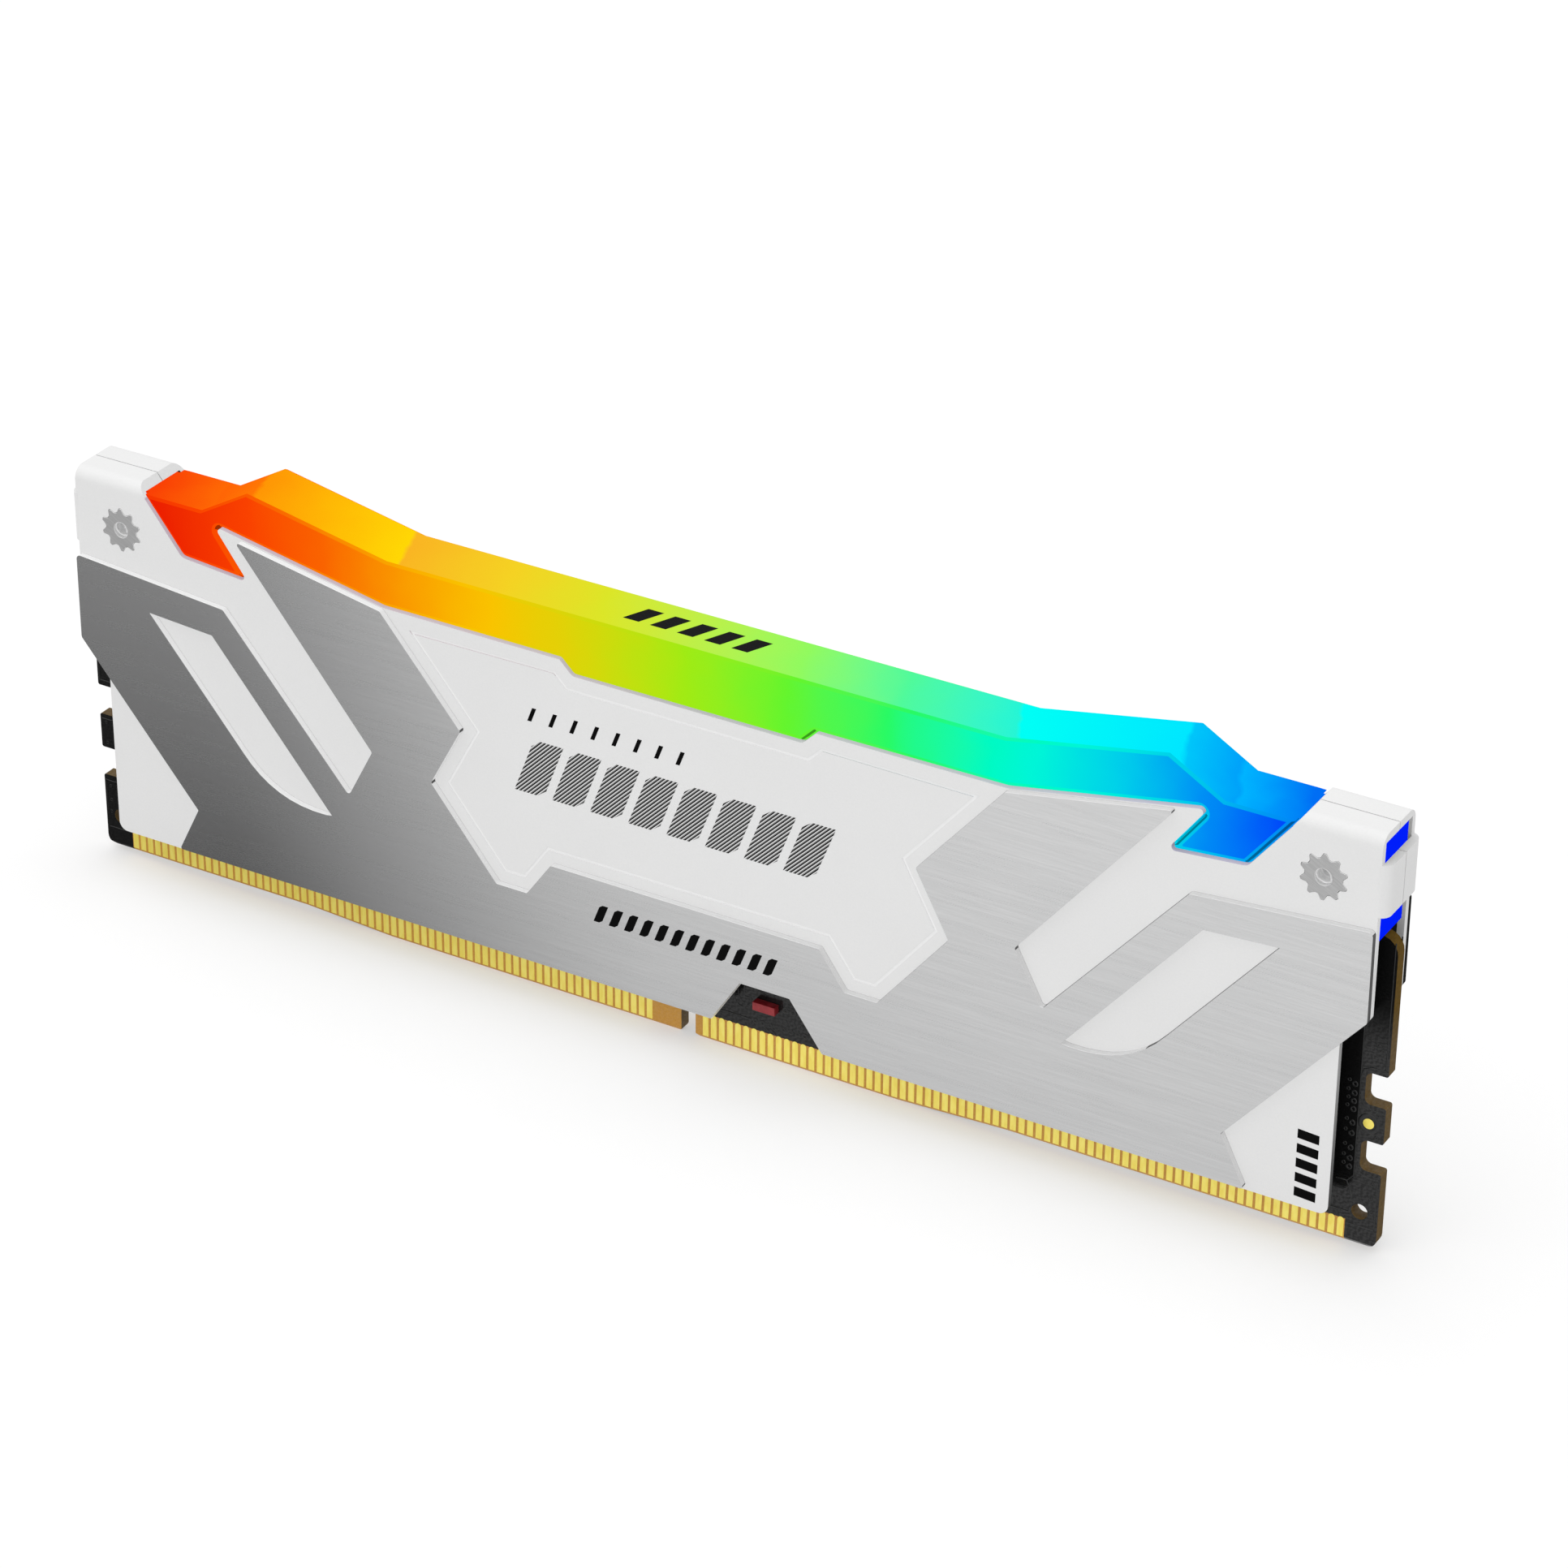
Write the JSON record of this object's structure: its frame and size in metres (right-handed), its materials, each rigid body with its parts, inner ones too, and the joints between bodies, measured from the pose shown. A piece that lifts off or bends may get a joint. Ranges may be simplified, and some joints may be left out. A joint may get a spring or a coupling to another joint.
{
  "type": "memory module",
  "caption": "Desktop memory module: gold-fingered circuit board clamped between white heat spreader shells with brushed trim plates and a lit translucent light bar.",
  "frame": {"origin": "centre of the module's length and thickness, at the lowest point of the contact edge", "axes": "+X along the module, +Z from the contact edge up to the light bar, -Y out of the front face"},
  "size_m": [0.1334, 0.0076, 0.044],
  "materials": {
    "solder_mask": "satin black solder mask over brown laminate",
    "gold": "gold plated, satin",
    "white_paint": "fine matt white powder coat",
    "brushed_plate": "brushed along its length",
    "light_bar": "frosted translucent, lit from inside in a rainbow along its length",
    "bare_metal": "bare, lightly brushed",
    "thermal_pad": "soft matt",
    "chip": "moulded black",
    "red_resin": "glossy dark red",
    "ceramic": "fired ceramic with tinned ends",
    "led": "white package with a clear lens"
  },
  "bodies": {
    "root": {"pcb": "solder_mask", "contacts_front_left": "gold", "contacts_front_right": "gold", "contacts_back_left": "gold", "contacts_back_right": "gold", "fiducials_front": "gold", "fiducials_back": "gold", "front_shell": "white_paint", "back_shell": "white_paint", "front_plate": "brushed_plate", "back_plate": "brushed_plate", "light_bar": "light_bar", "clamp_post_left": "bare_metal", "clamp_post_right": "bare_metal", "insert_front_left": "bare_metal", "insert_front_right": "bare_metal", "insert_back_left": "bare_metal", "insert_back_right": "bare_metal", "thermal_pad_left": "thermal_pad", "thermal_pad_right": "thermal_pad", "thermal_pad_power": "thermal_pad", "thermal_pad_back": "thermal_pad", "power_chip": "chip", "spd_hub": "chip", "light_controller": "chip", "inductor_1": "chip", "inductor_2": "chip", "inductor_3": "chip", "red_capacitor": "red_resin", "bulk_capacitors": "ceramic", "small_capacitors": "ceramic", "back_capacitors": "ceramic", "resistor_packs": "chip", "dram_1": "chip", "dram_2": "chip", "dram_3": "chip", "dram_4": "chip", "dram_5": "chip", "dram_6": "chip", "dram_7": "chip", "dram_8": "chip", "led_1": "led", "led_2": "led", "led_3": "led", "led_4": "led", "led_5": "led", "led_6": "led", "led_7": "led", "led_8": "led", "led_9": "led", "led_10": "led"}
  },
  "joints": []
}
